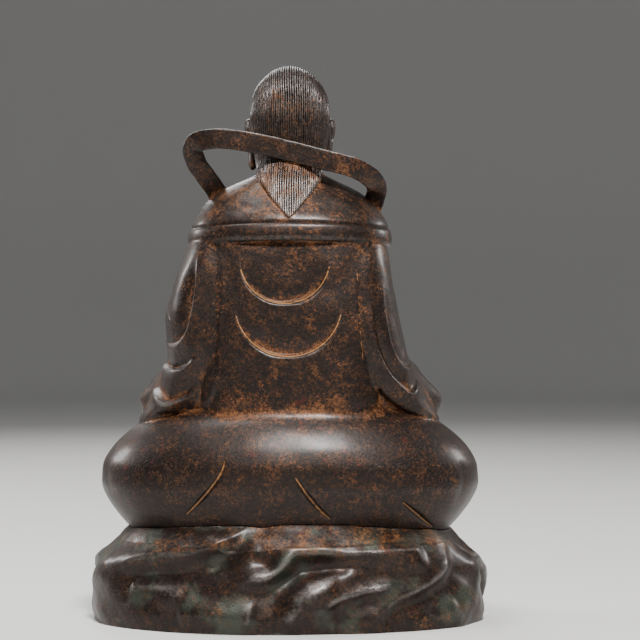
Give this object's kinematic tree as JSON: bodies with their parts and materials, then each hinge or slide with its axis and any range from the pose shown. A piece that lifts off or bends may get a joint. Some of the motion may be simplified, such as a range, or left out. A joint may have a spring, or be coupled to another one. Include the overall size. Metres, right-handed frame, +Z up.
{
  "type": "zhenwu statue",
  "caption": "Bronze deity in a robe and short cape, seated cross-legged on a rock, with a stiff scarf arching behind the neck.",
  "frame": {"origin": "middle of the rock's flat underside, which is the middle of the whole statue's footprint in width and depth", "axes": "+Z up, +X towards the figure's own left hand, +Y towards its back, so the figure faces -Y"},
  "size_m": [0.2451, 0.168, 0.3398],
  "materials": {
    "figure_bronze": "dark brown patina with rust-brown dirt in the hollows, worn to grey on high places",
    "rock_bronze": "dark brown patina with a faint green cast, rust-brown along the upper rim"
  },
  "bodies": {
    "root": {"figure": "figure_bronze", "rock_base": "rock_bronze"}
  },
  "joints": []
}
